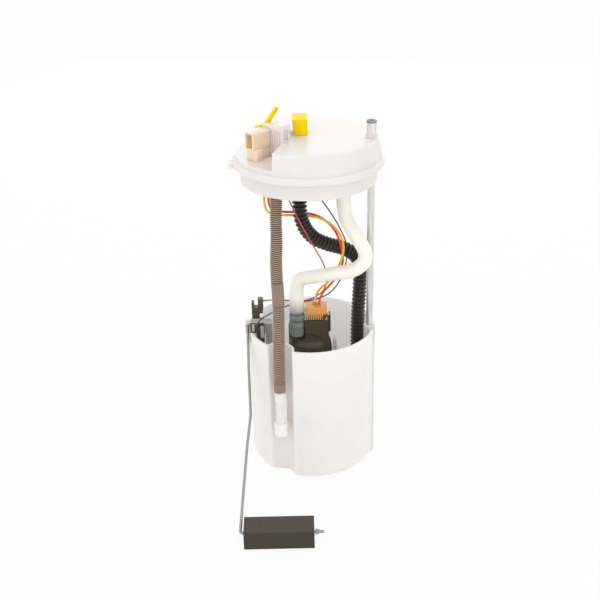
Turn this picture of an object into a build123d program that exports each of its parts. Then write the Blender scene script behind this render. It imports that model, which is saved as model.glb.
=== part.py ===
"""Fuel pump module: a reservoir pot with pump and level sender, under a sprung flange on two guide rods.

Millimetres. The origin is the middle of the pot's foot, +Z is up, -Y is the side of the float.
"""

from math import cos, radians, sin, tan

import os

from build123d import *

# ---- reservoir pot ----
POT_R = 58.0
POT_WALL = 2.0
POT_TOP = 136.0
POT_FLOOR = 1.5  # height of the floor's underside, on its foot pads
POT_FLOOR_THICK = 2.5
POT_CORNER = 9.0
FOOT_STEPS = 4  # cones that round the pot's foot
LIP_R = 2.5  # rounding of the channel's edges
NOTCH_Z = 124.0  # bottom of the sender's notch in the rim
CHANNEL_X, CHANNEL_Y = -30.0, -50.0  # axis of the return tube's channel in the pot wall
CHANNEL_R = 12.0

# ---- flange ----
SKIRT_Z = 277.7
SKIRT_R = 59.0
SKIRT_IN_R = 56.8
RIM_Z = 291.3
RIM_TOP = 298.7
RIM_R = 65.5
STEP_LINE = [(-36.0, -72.0), (-17.0, -8.0), (-17.0, 72.0)]  # where the drum steps down to the deck
DRUM_FOOT_R = 62.7
DRUM_TOP_R = 59.6
TOP_Z = 316.0
PLATE = 2.6
DECK_TOP = 302.0
DECK_THICK = 2.5
WALL = 2.2
LUG_REACH = 69.5
STUB_END = 284.0  # lower end of the hose stubs under the flange

# ---- guide rods and springs ----
ROD_R = 3.1
ROD_BORE_R = 2.1
ROD_CIRCLE = 54.0
ROD_ANGLES = (-11.5, 124.5)
ROD_NAMES = ("right", "left")
ROD_LOW = 80.0
SLEEVE_R = 4.9
SLEEVE_BORE_R = 4.05
COLLAR_R = 5.2
COLLAR_LOW = 122.0
SLEEVE_TOP = 138.0
BUSH_LOW = 128.0
BUSH_R = 4.5
BUSH_CLEARANCE = 0.08
SPRING_LOW = 6.0
SPRING_MEAN_R = 2.6
SPRING_WIRE_R = 0.45
SPRING_TURNS = 5
FERRULE_R = 4.15
FERRULE_TOP = 330.5

# ---- pump ----
PUMP_X, PUMP_Y = -1.5, -2.0
PUMP_R = 19.0
PUMP_LOW, PUMP_TOP = 30.0, 110.0
IMPELLER_Z = PUMP_LOW + 7.4
IMPELLER_R = 14.0
IMPELLER_THICK = 3.4
ARMATURE_Z = (57.0, 88.0)
ARMATURE_R = 11.5
HEAD_R = 20.4
HEAD_TOP = 124.0
BARB_X, BARB_Y = -13.0, -8.0
BARB_TOP = 158.0
BARB_TEETH = 3
BARB_PITCH = 8.0
TOWER_X = (-5.3, 15.0)
TOWER_Y = (-13.0, 3.0)
TOWER_TOP = 145.0
PLUG_TOP = 157.5
PLUG_RIBS = 9

# ---- level sender and float ----
PIVOT_Y, PIVOT_Z = 0.0, 136.0
ARM_R = 1.25
FLOAT_Y, FLOAT_Z = -143.0, 9.6
FLOAT_X = (-62.0, -2.0)
FLOAT_DEPTH = 22.0
FLOAT_HEIGHT = 18.4
HOUSING_X = (-54.0, -43.6)
HOUSING_Y = (-10.0, 3.0)
HOUSING_Z = (112.0, 146.0)
SHELL = 1.4
TERMINAL_Y = (-9.6, -3.0)
WIPER_REACH = 8.0

# ---- jet pump and foot valve ----
JET_X, JET_Y, JET_Z = -19.5, -33.0, 54.0
VALVE_X, VALVE_Y = 9.0, -33.0

# ---- electrical socket on the flange deck ----
SOCKET_TURN = 45.0  # degrees from +X towards +Y, the way the socket's body runs
SOCKET_MOUTH = (-49.4, -23.5, 318.0)
SOCKET_W = 10.0
SOCKET_H = 15.0
SHROUD_LEN = 20.0
SHROUD_WALL = 1.5
CARRIER_PLAN = [(-38.4, -6.1), (-22.1, -22.4), (-15.7, -16.0), (-15.7, 14.0), (-18.3, 14.0)]
CARRIER_TOP = 327.5
CARRIER_HIGH = 330.5  # the housing's raised right part
LEVER_HINGE = (22.5, 6.9, 3.8)  # along, across and above the socket's axis
LEVER_RISE = 42.0
LEVER_LEN = 23.9
PIN_R = 0.72
OUTLET = (-7.0, 5.5)  # fuel outlet spigot on the top plate
OUTLET_R = 3.6
CAP_BORE_R = 4.7

# ---- routes of the hoses and wires: from the flange down to the pot ----
HOSE_SIDES = 12  # facets round a hose, and round a wire
WIRE_SIDES = 6
RETURN_DIA = 10.5
RETURN_ROUTE = [
    (-28.0, -42.0, 284.0),
    (-28.0, -42.0, 271.0),
    (-28.8, -45.0, 258.0),
    (-28.4, -49.0, 240.0),
    (-29.9, -50.4, 216.0),
    (-28.4, -50.3, 184.0),
    (-29.2, -50.0, 150.0),
    (-30.0, -50.0, 118.0),
    (-30.0, -50.0, 94.0),
]
BLACK_DIA = 11.5
BLACK_ROUTE = [
    (-8.6, -12.0, 284.0),
    (-8.6, -12.0, 262.0),
    (-8.2, -12.0, 243.0),
    (1.0, -8.0, 225.0),
    (16.0, -1.4, 215.0),
    (34.0, 7.5, 207.0),
    (46.6, 13.0, 192.0),
    (45.4, 14.4, 166.0),
    (43.4, 15.0, 126.0),
    (44.0, 15.0, 82.0),
    (44.0, 15.0, 40.0),
]
FEED_DIA = 13.0
FEED_ROUTE = [
    (29.2, -7.0, 284.0),
    (29.2, -7.0, 258.0),
    (31.4, -10.0, 241.5),
    (40.4, -18.6, 230.0),
    (50.4, -26.4, 213.0),
    (39.6, -24.4, 199.4),
    (21.0, -19.0, 194.8),
    (4.0, -13.6, 189.8),
    (-12.6, -8.4, 185.6),
    (-13.0, -8.0, 163.0),
    (-13.0, -8.0, 129.0),
]
POWER_DIA = 2.1
YELLOW_ROUTE = [
    (-39.4, -5.0, 286.0),
    (-39.4, -5.0, 266.0),
    (-38.8, -4.4, 248.0),
    (-26.0, -0.6, 243.4),
    (-8.0, 1.0, 242.8),
    (9.0, 0.4, 240.6),
    (22.6, -4.6, 233.6),
    (30.6, -9.0, 218.8),
    (27.6, -8.4, 201.0),
    (18.0, -6.0, 182.0),
    (3.4, -4.0, 169.0),
    (3.4, -4.0, 157.5),
]
RED_ROUTE = [
    (-35.9, -5.0, 286.0),
    (-35.9, -5.0, 266.0),
    (-35.0, -2.6, 250.0),
    (-24.0, 2.0, 245.6),
    (-8.0, 3.6, 244.8),
    (9.0, 3.4, 241.0),
    (21.6, -0.6, 230.6),
    (27.4, -4.6, 217.0),
    (30.2, -6.4, 199.0),
    (21.2, -9.4, 183.0),
    (7.2, -8.0, 168.0),
    (7.2, -8.0, 157.5),
]
SIGNAL_DIA = 1.2
THIN_RED_ROUTE = [
    (-23.6, -12.6, 286.0),
    (-23.6, -12.6, 277.0),
    (-18.0, -20.0, 266.0),
    (-9.8, -22.6, 247.4),
    (-2.2, -20.6, 231.4),
    (5.8, -13.0, 213.4),
    (13.0, -7.4, 196.8),
    (15.4, -1.8, 179.4),
    (11.0, 3.2, 165.6),
    (-2.6, 6.2, 156.0),
    (-17.4, 6.2, 155.8),
    (-31.0, 0.0, 161.6),
    (-37.6, -6.2, 163.4),
    (-43.6, -6.2, 163.4),
]
THIN_DARK_ROUTE = [
    (-24.0, 3.0, 286.0),
    (-24.0, 3.0, 278.0),
    (-10.0, 3.0, 272.6),
    (6.0, 3.2, 262.4),
    (19.2, 6.0, 242.4),
    (28.0, 8.6, 225.0),
    (34.4, 17.6, 206.0),
    (33.8, 20.2, 189.0),
    (28.4, 13.4, 173.6),
    (18.6, 9.2, 162.0),
    (6.6, 8.6, 156.8),
    (-7.4, 8.4, 153.6),
    (-21.2, 4.4, 152.8),
    (-32.5, -5.5, 152.4),
    (-40.0, -13.2, 151.6),
    (-47.0, -18.4, 150.0),
    (-50.2, -18.4, 142.4),
    (-50.2, -10.0, 142.4),
]


# ---- small helpers ----
def disc(radius, low, high, x=0.0, y=0.0):
    """An upright cylinder from low to high."""
    return Pos(x, y, (low + high) / 2) * Cylinder(radius, high - low)


def pipe(outer, inner, low, high, x=0.0, y=0.0):
    return disc(outer, low, high, x, y) - disc(inner, low - 1, high + 1, x, y)


def block(x, y, z):
    """A box from three (low, high) pairs."""
    size = [b - a for a, b in (x, y, z)]
    return Pos(*[(a + b) / 2 for a, b in (x, y, z)]) * Box(*size)


def bar(radius, start, end):
    """A round bar between two points."""
    axis = Vector(*end) - Vector(*start)
    plane = Plane(origin=start, z_dir=axis)
    return extrude(plane * Circle(radius), amount=axis.length)


def rectangle_at(x, y, z):
    """A level rectangle from two (low, high) pairs, for lofts."""
    return Pos((x[0] + x[1]) / 2, (y[0] + y[1]) / 2, z) * Rectangle(x[1] - x[0], y[1] - y[0])


def turned(points):
    """A solid of revolution about Z from (radius, height) points."""
    face = make_face(Plane.XZ * Polyline(*points, close=True))
    return revolve(face, Axis.Z)


def rod_places():
    for name, angle in zip(ROD_NAMES, ROD_ANGLES):
        yield name, ROD_CIRCLE * cos(radians(angle)), ROD_CIRCLE * sin(radians(angle))


def corner_radii(points):
    """The largest arc that each corner's two runs allow."""
    radii = []
    for before, at, after in zip(points, points[1:], points[2:]):
        inward = Vector(*at) - Vector(*before)
        outward = Vector(*after) - Vector(*at)
        half_turn = radians(inward.get_angle(outward)) / 2
        radii.append(0.45 * min(inward.length, outward.length) / tan(half_turn))
    return radii


def cord(name, points, diameter, sides):
    """A cord of straight runs joined by tangent arcs, its section a polygon of many sides."""
    radii = corner_radii(points)
    path = FilletPolyline(*points, radius=radii)
    section = RegularPolygon(diameter / 2, sides)
    solid = sweep(Plane(origin=path @ 0, z_dir=path % 0) * section, path=path)
    share = solid.volume / (section.area * path.length)
    print(f"{name}: length {path.length:.1f}, smallest radius {min(radii):.1f}, volume share {share:.4f}")
    return solid


# ---- reservoir ----
def rounded_can(radius, corner, low, top):
    """A solid can, its foot rounded by a row of cones."""
    turns = [radians(90 * k / FOOT_STEPS) for k in range(FOOT_STEPS + 1)]
    foot = [(radius - corner + corner * sin(a), low + corner - corner * cos(a)) for a in turns]
    return turned([(0, low), *foot, (radius, top), (0, top)])


def reservoir_shell():
    """The pot's wall and floor, with the return tube's channel down one side."""
    outer = rounded_can(POT_R, POT_CORNER, POT_FLOOR, POT_TOP)
    outer -= disc(CHANNEL_R, 0, POT_TOP + 1, CHANNEL_X, CHANNEL_Y)
    lips = outer.edges().filter_by(Axis.Z).filter_by(lambda edge: edge.center().X < 0)
    outer = fillet(lips, LIP_R)
    inner = rounded_can(POT_R - POT_WALL, POT_CORNER - POT_WALL, POT_FLOOR + POT_FLOOR_THICK, POT_TOP + 1)
    return outer - (inner - disc(CHANNEL_R + POT_WALL, 0, POT_TOP + 2, CHANNEL_X, CHANNEL_Y))


def reservoir():
    floor = POT_FLOOR + POT_FLOOR_THICK
    pot = reservoir_shell()
    for _, x, y in rod_places():
        pot += disc(SLEEVE_R, POT_FLOOR + 1, COLLAR_LOW, x, y)
        pot += disc(COLLAR_R, COLLAR_LOW, SLEEVE_TOP, x, y)
        pot -= disc(SLEEVE_BORE_R, SPRING_LOW, SLEEVE_TOP + 1, x, y)
        pot -= disc(BUSH_R, BUSH_LOW, SLEEVE_TOP + 1, x, y)
    # notch in the left rim for the level sender
    pot -= block((-70, -44), (-17, 16), (NOTCH_Z, POT_TOP + 5))
    # foot pads: one in the middle, four round the edge
    pot += disc(14, 0, POT_FLOOR + 1)
    for angle in (30, 120, 210, 300):
        pot += Rot(0, 0, angle) * disc(6, 0, POT_FLOOR + 1, 41, 0)
    # hole of the foot valve
    pot -= disc(2.0, POT_FLOOR - 1, floor + 1, VALVE_X, VALVE_Y)
    # hole for the jet pump's inlet through the channel wall
    pot -= jet_elbow(4.1)
    # post that carries the black hose
    pot += disc(BLACK_DIA / 2, floor - 0.5, BLACK_ROUTE[-1][2], *BLACK_ROUTE[-1][:2])
    return pot


def jet_elbow(radius):
    """The horizontal run from the return nipple through the channel wall."""
    return bar(radius, (CHANNEL_X, CHANNEL_Y, JET_Z), (JET_X, JET_Y, JET_Z))


def jet_pump():
    """Return nipple in the channel, elbow through the wall, and nozzle body on the pot floor."""
    nipple = turned([
        (2.4, JET_Z), (6.0, JET_Z - 6), (6.0, JET_Z + 6), (4.0, JET_Z + 6),
        (4.0, 84), (4.9, 84), (4.1, 87), (4.1, 88), (4.9, 88), (4.1, 91), (4.1, 94), (2.4, 94),
    ])
    body = Pos(CHANNEL_X, CHANNEL_Y, 0) * nipple
    body += jet_elbow(4.0)
    body += disc(5.0, 8, JET_Z + 5, JET_X, JET_Y)
    body += block((JET_X, VALVE_X - 8), (VALVE_Y - 3.6, VALVE_Y + 3.6), (8, 15.2))
    # locating rib beside the nipple
    body += block((CHANNEL_X + 3.5, CHANNEL_X + 5.8), (CHANNEL_Y - 0.8, CHANNEL_Y + 0.8), (JET_Z + 2, 90))
    return body


def foot_valve():
    """Umbrella valve: a rubber disc with a stem through the hole in the floor."""
    floor = POT_FLOOR + POT_FLOOR_THICK
    disc_part = Pos(VALVE_X, VALVE_Y, floor + 0.6) * Cylinder(6.5, 1.2)
    stem = disc(1.6, POT_FLOOR - 0.6, floor + 2.4, VALVE_X, VALVE_Y)
    return disc_part + stem


# ---- pump ----
def at_pump(part):
    return Pos(PUMP_X, PUMP_Y, 0) * part


def pump_case():
    """Rolled steel can with turned-in ends."""
    can = pipe(PUMP_R, PUMP_R - 1.4, PUMP_LOW, PUMP_TOP)
    can += pipe(PUMP_R - 0.6, PUMP_R - 3.4, PUMP_LOW, PUMP_LOW + 1.2)
    return at_pump(can)


def pump_head():
    """Moulded outlet cover: a dome with the plug's tower and the outlet's seat."""
    dome = turned([
        (0, PUMP_TOP - 6),
        (PUMP_R - 1.5, PUMP_TOP - 6),
        (PUMP_R - 1.5, PUMP_TOP),
        (HEAD_R, PUMP_TOP),
        (HEAD_R - 0.4, HEAD_TOP - 8),
        (HEAD_R - 1.4, HEAD_TOP - 3),
        (HEAD_R - 4.0, HEAD_TOP + 1),
        (HEAD_R - 8.4, HEAD_TOP + 3.4),
        (0, HEAD_TOP + 4),
    ])
    head = at_pump(dome)
    # tower that widens towards the dome
    foot_x, foot_y = (TOWER_X[0] - 1.0, TOWER_X[1] + 1.4), (TOWER_Y[0] - 2.2, TOWER_Y[1] + 1.0)
    head = head + loft([rectangle_at(foot_x, foot_y, HEAD_TOP - 3), rectangle_at(TOWER_X, TOWER_Y, TOWER_TOP)])
    cavity = (TOWER_X[0] + 1.6, TOWER_X[1] - 1.6), (TOWER_Y[0] + 1.6, TOWER_Y[1] - 1.6)
    head -= block(*cavity, (HEAD_TOP + 6, TOWER_TOP + 1))
    # raised wall at the back left
    crescent = at_pump(pipe(HEAD_R - 0.4, HEAD_R - 3.4, HEAD_TOP - 6, HEAD_TOP + 11))
    head += crescent & block((-40, -12), (2, 40), (HEAD_TOP - 7, HEAD_TOP + 12))
    # latch loop on the tower's right side
    loop = block((TOWER_X[1] - 0.5, TOWER_X[1] + 2.6), (-9.5, -1.5), (TOWER_TOP - 13, TOWER_TOP + 4))
    loop -= block((TOWER_X[1] + 0.4, TOWER_X[1] + 3), (-7.7, -3.3), (TOWER_TOP - 5, TOWER_TOP + 2.4))
    head += loop - block((TOWER_X[1] - 1, TOWER_X[1] + 1.0), (-10, -1), (TOWER_TOP, TOWER_TOP + 5))
    # boss over a brush
    head += disc(4.6, HEAD_TOP - 4, HEAD_TOP + 7, PUMP_X - 10, PUMP_Y + 11)
    # outlet bore and its seat
    head += disc(6.2, HEAD_TOP - 5, HEAD_TOP + 3.6, BARB_X, BARB_Y)
    head -= disc(3.4, PUMP_TOP - 7, HEAD_TOP + 5, BARB_X, BARB_Y)
    # room for the rotor's upper end
    head -= at_pump(disc(2.3, PUMP_TOP - 7, PUMP_TOP + 3))
    return head


def outlet_barb():
    """Fir-tree outlet nipple, pressed into the head's outlet."""
    profile = [(2.6, HEAD_TOP - 6), (3.35, HEAD_TOP - 6), (3.35, HEAD_TOP + 3.6)]
    for k in range(BARB_TEETH):
        low = HEAD_TOP + 8 + BARB_PITCH * k
        profile += [(4.4, low), (5.3, low)]
    return Pos(BARB_X, BARB_Y, 0) * turned(profile + [(4.4, BARB_TOP), (2.6, BARB_TOP)])


def check_valve():
    """Poppet with a domed head and a guide stem."""
    stem = disc(1.2, HEAD_TOP - 9, HEAD_TOP - 0.5)
    dome = Pos(0, 0, HEAD_TOP - 9.6) * Cone(2.2, 2.9, 1.8)
    return Pos(BARB_X, BARB_Y, 0) * (stem + dome)


def pump_inlet():
    """Inlet cover under the impeller, with the strainer's spigot."""
    cover = disc(PUMP_R - 1.5, PUMP_LOW + 1.2, PUMP_LOW + 7)
    cover += disc(PUMP_R - 4, PUMP_LOW - 2, PUMP_LOW + 2)
    cover += disc(5, PUMP_LOW - 9, PUMP_LOW - 1, -8, 0)
    cover -= disc(3.2, PUMP_LOW - 10, PUMP_LOW + 8, -8, 0)
    cover -= disc(1.55, PUMP_LOW + 3, PUMP_LOW + 8)
    return at_pump(cover)


def pump_plate():
    """Upper half of the turbine housing, over the impeller."""
    low = IMPELLER_Z + IMPELLER_THICK + 0.4
    plate = disc(PUMP_R - 1.5, low, low + 5)
    plate += pipe(PUMP_R - 1.5, IMPELLER_R + 0.5, PUMP_LOW + 7, low + 1)
    plate -= disc(1.55, low - 1, low + 6)
    plate -= disc(2.4, low - 1, low + 6, 10.5, 0)
    return at_pump(plate)


def impeller():
    """Side-channel wheel with vanes round its edge."""
    wheel = disc(IMPELLER_R, IMPELLER_Z, IMPELLER_Z + IMPELLER_THICK)
    wheel -= disc(1.5, IMPELLER_Z - 1, IMPELLER_Z + 5)
    gap = block((IMPELLER_R - 2.6, IMPELLER_R + 1), (-1.0, 1.0), (IMPELLER_Z - 1, IMPELLER_Z + 5))
    for k in range(18):
        wheel -= Rot(0, 0, 20 * k) * gap
    return at_pump(wheel)


def armature():
    core = disc(ARMATURE_R, *ARMATURE_Z) - disc(1.5, ARMATURE_Z[0] - 1, ARMATURE_Z[1] + 1)
    slot = block((5.5, ARMATURE_R + 1), (-1.1, 1.1), (ARMATURE_Z[0] - 1, ARMATURE_Z[1] + 1))
    for k in range(8):
        core -= Rot(0, 0, 45 * k) * slot
    return at_pump(core)


def commutator():
    ring = disc(6.0, ARMATURE_Z[1], ARMATURE_Z[1] + 10) - disc(1.5, ARMATURE_Z[1] - 1, ARMATURE_Z[1] + 11)
    cut = block((4.6, 7), (-0.3, 0.3), (ARMATURE_Z[1] + 1, ARMATURE_Z[1] + 11))
    for k in range(8):
        ring -= Rot(0, 0, 45 * k + 22.5) * cut
    return at_pump(ring)


def rotor_shaft():
    return at_pump(disc(1.5, PUMP_LOW + 3.4, PUMP_TOP + 2))


def magnets():
    """Two magnet shells on the case's inner wall."""
    ring = pipe(PUMP_R - 1.5, ARMATURE_R + 0.5, ARMATURE_Z[0] - 2, ARMATURE_Z[1] + 2)
    gap = block((-5, 5), (-20, 20), (50, 95))
    return at_pump(ring - gap)


def brush_holder():
    plate = disc(PUMP_R - 1.6, 98.6, 102.6) - disc(2.0, 98, 103)
    for side in (-1, 1):
        plate -= block((side * 6 - 2.2, side * 6 + 2.2), (-2.2, 2.2), (98, 103))
    return at_pump(plate)


def brushes():
    low = ARMATURE_Z[1] + 10.3
    pair = [block((s * 5.6 - 1.6, s * 5.6 + 1.6), (-1.8, 1.8), (low, 103.8)) for s in (-1, 1)]
    return at_pump(pair[0] + pair[1])


def pump_damper():
    """Rubber ring between the pump case and its holder."""
    ring = pipe(PUMP_R + 1.6, PUMP_R, 88, 98)
    ring += pipe(PUMP_R + 1.6, PUMP_R, 44, 50)
    return at_pump(ring)


def pump_holder():
    """Cradle that hangs the pump in the pot, on three legs."""
    inner, outer = PUMP_R + 1.6, PUMP_R + 3.4
    cradle = pipe(outer, inner, 84, 102) + pipe(outer, inner, 40, 54)
    for angle in (35, 150, 282):
        leg = block((inner + 0.2, outer + 0.8), (-4, 4), (POT_FLOOR + POT_FLOOR_THICK, 102))
        cradle += Rot(0, 0, angle) * leg
    # tall tab beside the head, its top rounded
    tab = block((outer - 0.8, outer + 2.2), (-6, 6), (84, 122))
    cradle += fillet(tab.edges().filter_by(Axis.X).sort_by(Axis.Z)[-2:], 4.5)
    return at_pump(cradle)


def strainer():
    """Flat filter sock under the pump, on a short neck."""
    sock = Pos(PUMP_X, PUMP_Y, 12.5) * Rot(0, 0, 20) * Box(33, 22, 8)
    sock = fillet(sock.edges().filter_by(Axis.Z), 6)
    sock = chamfer(sock.faces().sort_by(Axis.Z)[-1].edges(), 2)
    return sock + disc(5.5, 14, PUMP_LOW - 9.0, PUMP_X - 8, PUMP_Y)


def pump_plug():
    """Two-way plug with a body in the socket and a wider top."""
    inset = 1.75
    x = TOWER_X[0] + inset, TOWER_X[1] - inset
    y = TOWER_Y[0] + inset, TOWER_Y[1] - inset
    plug = block(x, y, (HEAD_TOP + 8, TOWER_TOP))
    top_x, top_y = (TOWER_X[0], TOWER_X[1] - 0.7), (TOWER_Y[0] + 1.2, TOWER_Y[1] - 1.2)
    top = block(top_x, top_y, (TOWER_TOP, PLUG_TOP))
    top = chamfer(top.edges().filter_by(Axis.Z), 1.2)
    # grip ribs along the lower half of the front
    step = (top_x[1] - top_x[0] - 4) / PLUG_RIBS
    for k in range(PLUG_RIBS):
        left = top_x[0] + 2 + step * (k + 0.3)
        top -= block((left, left + step * 0.45), (top_y[0] - 1, top_y[0] + 0.6), (TOWER_TOP - 1, TOWER_TOP + 5))
    return plug + top


# ---- level sender ----
def sender_housing():
    x, y, z = HOUSING_X, HOUSING_Y, HOUSING_Z
    box = block(x, y, z)
    box -= block((x[0] + SHELL, x[1] - SHELL), (y[0] + SHELL, y[1] + 1), (z[0] + SHELL, z[1] - SHELL))
    box += bar(3.0, (x[0] - 2.2, PIVOT_Y, PIVOT_Z), (x[0] + 0.5, PIVOT_Y, PIVOT_Z))
    box -= bar(ARM_R + 0.07, (x[0] - 4, PIVOT_Y, PIVOT_Z), (x[0] + 3, PIVOT_Y, PIVOT_Z))
    # terminal tower on a narrow neck, with a short and a tall prong
    neck = block((x[0], x[0] + 6.4), TERMINAL_Y, (z[1] - 0.5, 151.0))
    tower = block((x[0], x[1] - 0.6), TERMINAL_Y, (150.5, 157.6))
    prongs = block((x[0], x[0] + 2.2), TERMINAL_Y, (157, 162.6))
    prongs += block((x[1] - 4.6, x[1]), TERMINAL_Y, (156, 165.6))
    return box + neck + tower + prongs


def resistor_card():
    """Ceramic card with the resistor track, on the housing's inner wall."""
    x = HOUSING_X[1] - SHELL
    return block((x - 0.8, x), (HOUSING_Y[0] + SHELL + 0.2, HOUSING_Y[1] - 0.2), (116, 143))


def sender_bracket():
    """Grey bar through the rim notch, with a leg down inside the pot."""
    beam = block((-61.3, -36.3), (3.6, 12.0), (NOTCH_Z + 0.5, NOTCH_Z + 11.0))
    beam -= block((-59, -45), (5.4, 13), (NOTCH_Z + 2.4, NOTCH_Z + 9.0))
    leg = block((-42.8, -36.4), (5.4, 9.2), (106, NOTCH_Z + 2))
    back = block((-54.6, -52.6), (4.0, 11.0), (100, NOTCH_Z + 2))
    arm = block((-54.0, -43.6), (3.0, 4.2), (114, NOTCH_Z + 2))
    return beam + leg + back + arm


def float_arm_points():
    """Pivot shaft, then the bent arm down to the float, then the float's axle."""
    return [
        (HOUSING_X[1] - SHELL - 1.6, PIVOT_Y, PIVOT_Z),
        (-59.0, PIVOT_Y, PIVOT_Z),
        (-57.9, -33.0, 106.8),
        (-56.2, -65.0, 78.5),
        (-59.4, -86.0, 59.9),
        (-65.4, FLOAT_Y, FLOAT_Z),
        (FLOAT_X[1] + 8.2, FLOAT_Y, FLOAT_Z),
    ]


def float_arm():
    points = float_arm_points()
    path = FilletPolyline(*points, radius=[2.2, 30, 22, 26, 2.2])
    start = Plane(origin=path @ 0, z_dir=path % 0)
    return sweep(start * RegularPolygon(ARM_R, 12), path=path)


def wiper_hub():
    """Hub on the pivot shaft that carries the wiper."""
    x = HOUSING_X[0] + SHELL + 0.5
    hub = bar(3.2, (x, PIVOT_Y, PIVOT_Z), (x + 3.4, PIVOT_Y, PIVOT_Z))
    hub -= bar(ARM_R, (x - 1, PIVOT_Y, PIVOT_Z), (x + 5, PIVOT_Y, PIVOT_Z))
    return hub


def wiper():
    """Brass spring finger from the hub to the resistor track."""
    x = HOUSING_X[0] + SHELL + 3.9
    finger = block((x, x + 0.5), (-1.6, 1.6), (PIVOT_Z - WIPER_REACH, PIVOT_Z - 2.4))
    finger += block((x, x + 2.2), (-1.2, 1.2), (PIVOT_Z - WIPER_REACH, PIVOT_Z - WIPER_REACH + 1.6))
    collar = bar(3.2, (x, PIVOT_Y, PIVOT_Z), (x + 0.5, PIVOT_Y, PIVOT_Z))
    collar -= bar(ARM_R, (x - 1, PIVOT_Y, PIVOT_Z), (x + 2, PIVOT_Y, PIVOT_Z))
    return finger + collar


def level_float():
    y = FLOAT_Y - FLOAT_DEPTH / 2, FLOAT_Y + FLOAT_DEPTH / 2
    z = FLOAT_Z - FLOAT_HEIGHT / 2, FLOAT_Z + FLOAT_HEIGHT / 2
    body = fillet(block(FLOAT_X, y, z).edges().filter_by(Axis.X), 1.2)
    return body - bar(ARM_R + 0.08, (-80, FLOAT_Y, FLOAT_Z), (20, FLOAT_Y, FLOAT_Z))


def float_clip():
    """Push-on clip that keeps the float on its wire."""
    x = FLOAT_X[1] + 1.2
    clip = bar(3.0, (x, FLOAT_Y, FLOAT_Z), (x + 1.0, FLOAT_Y, FLOAT_Z))
    clip += bar(2.0, (x, FLOAT_Y, FLOAT_Z), (x + 3.0, FLOAT_Y, FLOAT_Z))
    return clip - bar(ARM_R, (x - 1, FLOAT_Y, FLOAT_Z), (x + 5, FLOAT_Y, FLOAT_Z))


# ---- flange ----
def left_of_step(shift, low, high):
    """Everything on the deck's side of the step, moved towards the drum by shift."""
    points = [(x + shift, y) for x, y in STEP_LINE] + [(-90, 72), (-90, -72)]
    return Pos(0, 0, low) * extrude(make_face(Polyline(*points, close=True)), amount=high - low)


def socket_carrier():
    """Housing behind the socket's shroud: over the top plate, and down to the deck in front of the step."""
    plan = make_face(Polyline(*CARRIER_PLAN, close=True))
    low, high = TOP_Z - 0.5, CARRIER_TOP
    carrier = Pos(0, 0, low) * extrude(plan, amount=high - low)
    raised = Pos(0, 0, high - 0.5) * extrude(plan, amount=CARRIER_HIGH - high + 0.5)
    carrier += raised & block((-26, 0), (-40, 40), (high - 1, CARRIER_HIGH + 1))
    below = Pos(0, 0, DECK_TOP - 0.5) * extrude(plan, amount=TOP_Z - DECK_TOP)
    carrier += below & left_of_step(WALL, DECK_TOP - 1, TOP_Z + 1)
    # recess in the side that faces the float, and grooves down the face round the shroud
    half = SOCKET_W / 2
    grooves = [
        block((SHROUD_LEN - 1, SHROUD_LEN + 0.9), (-half - 2.6 - 3 * k, -half - 1.2 - 3 * k), (-13, 7))
        for k in range(4)
    ]
    for groove in grooves:
        carrier -= at_socket(groove)
    carrier -= at_socket(block((SHROUD_LEN + 2, SHROUD_LEN + 8), (-20, -16.5), (-1, 7.5)))
    x, y, z = LEVER_HINGE
    return carrier - at_socket(bar(PIN_R + 0.02, (x, y - 4.5, z), (x, y, z)))


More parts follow.
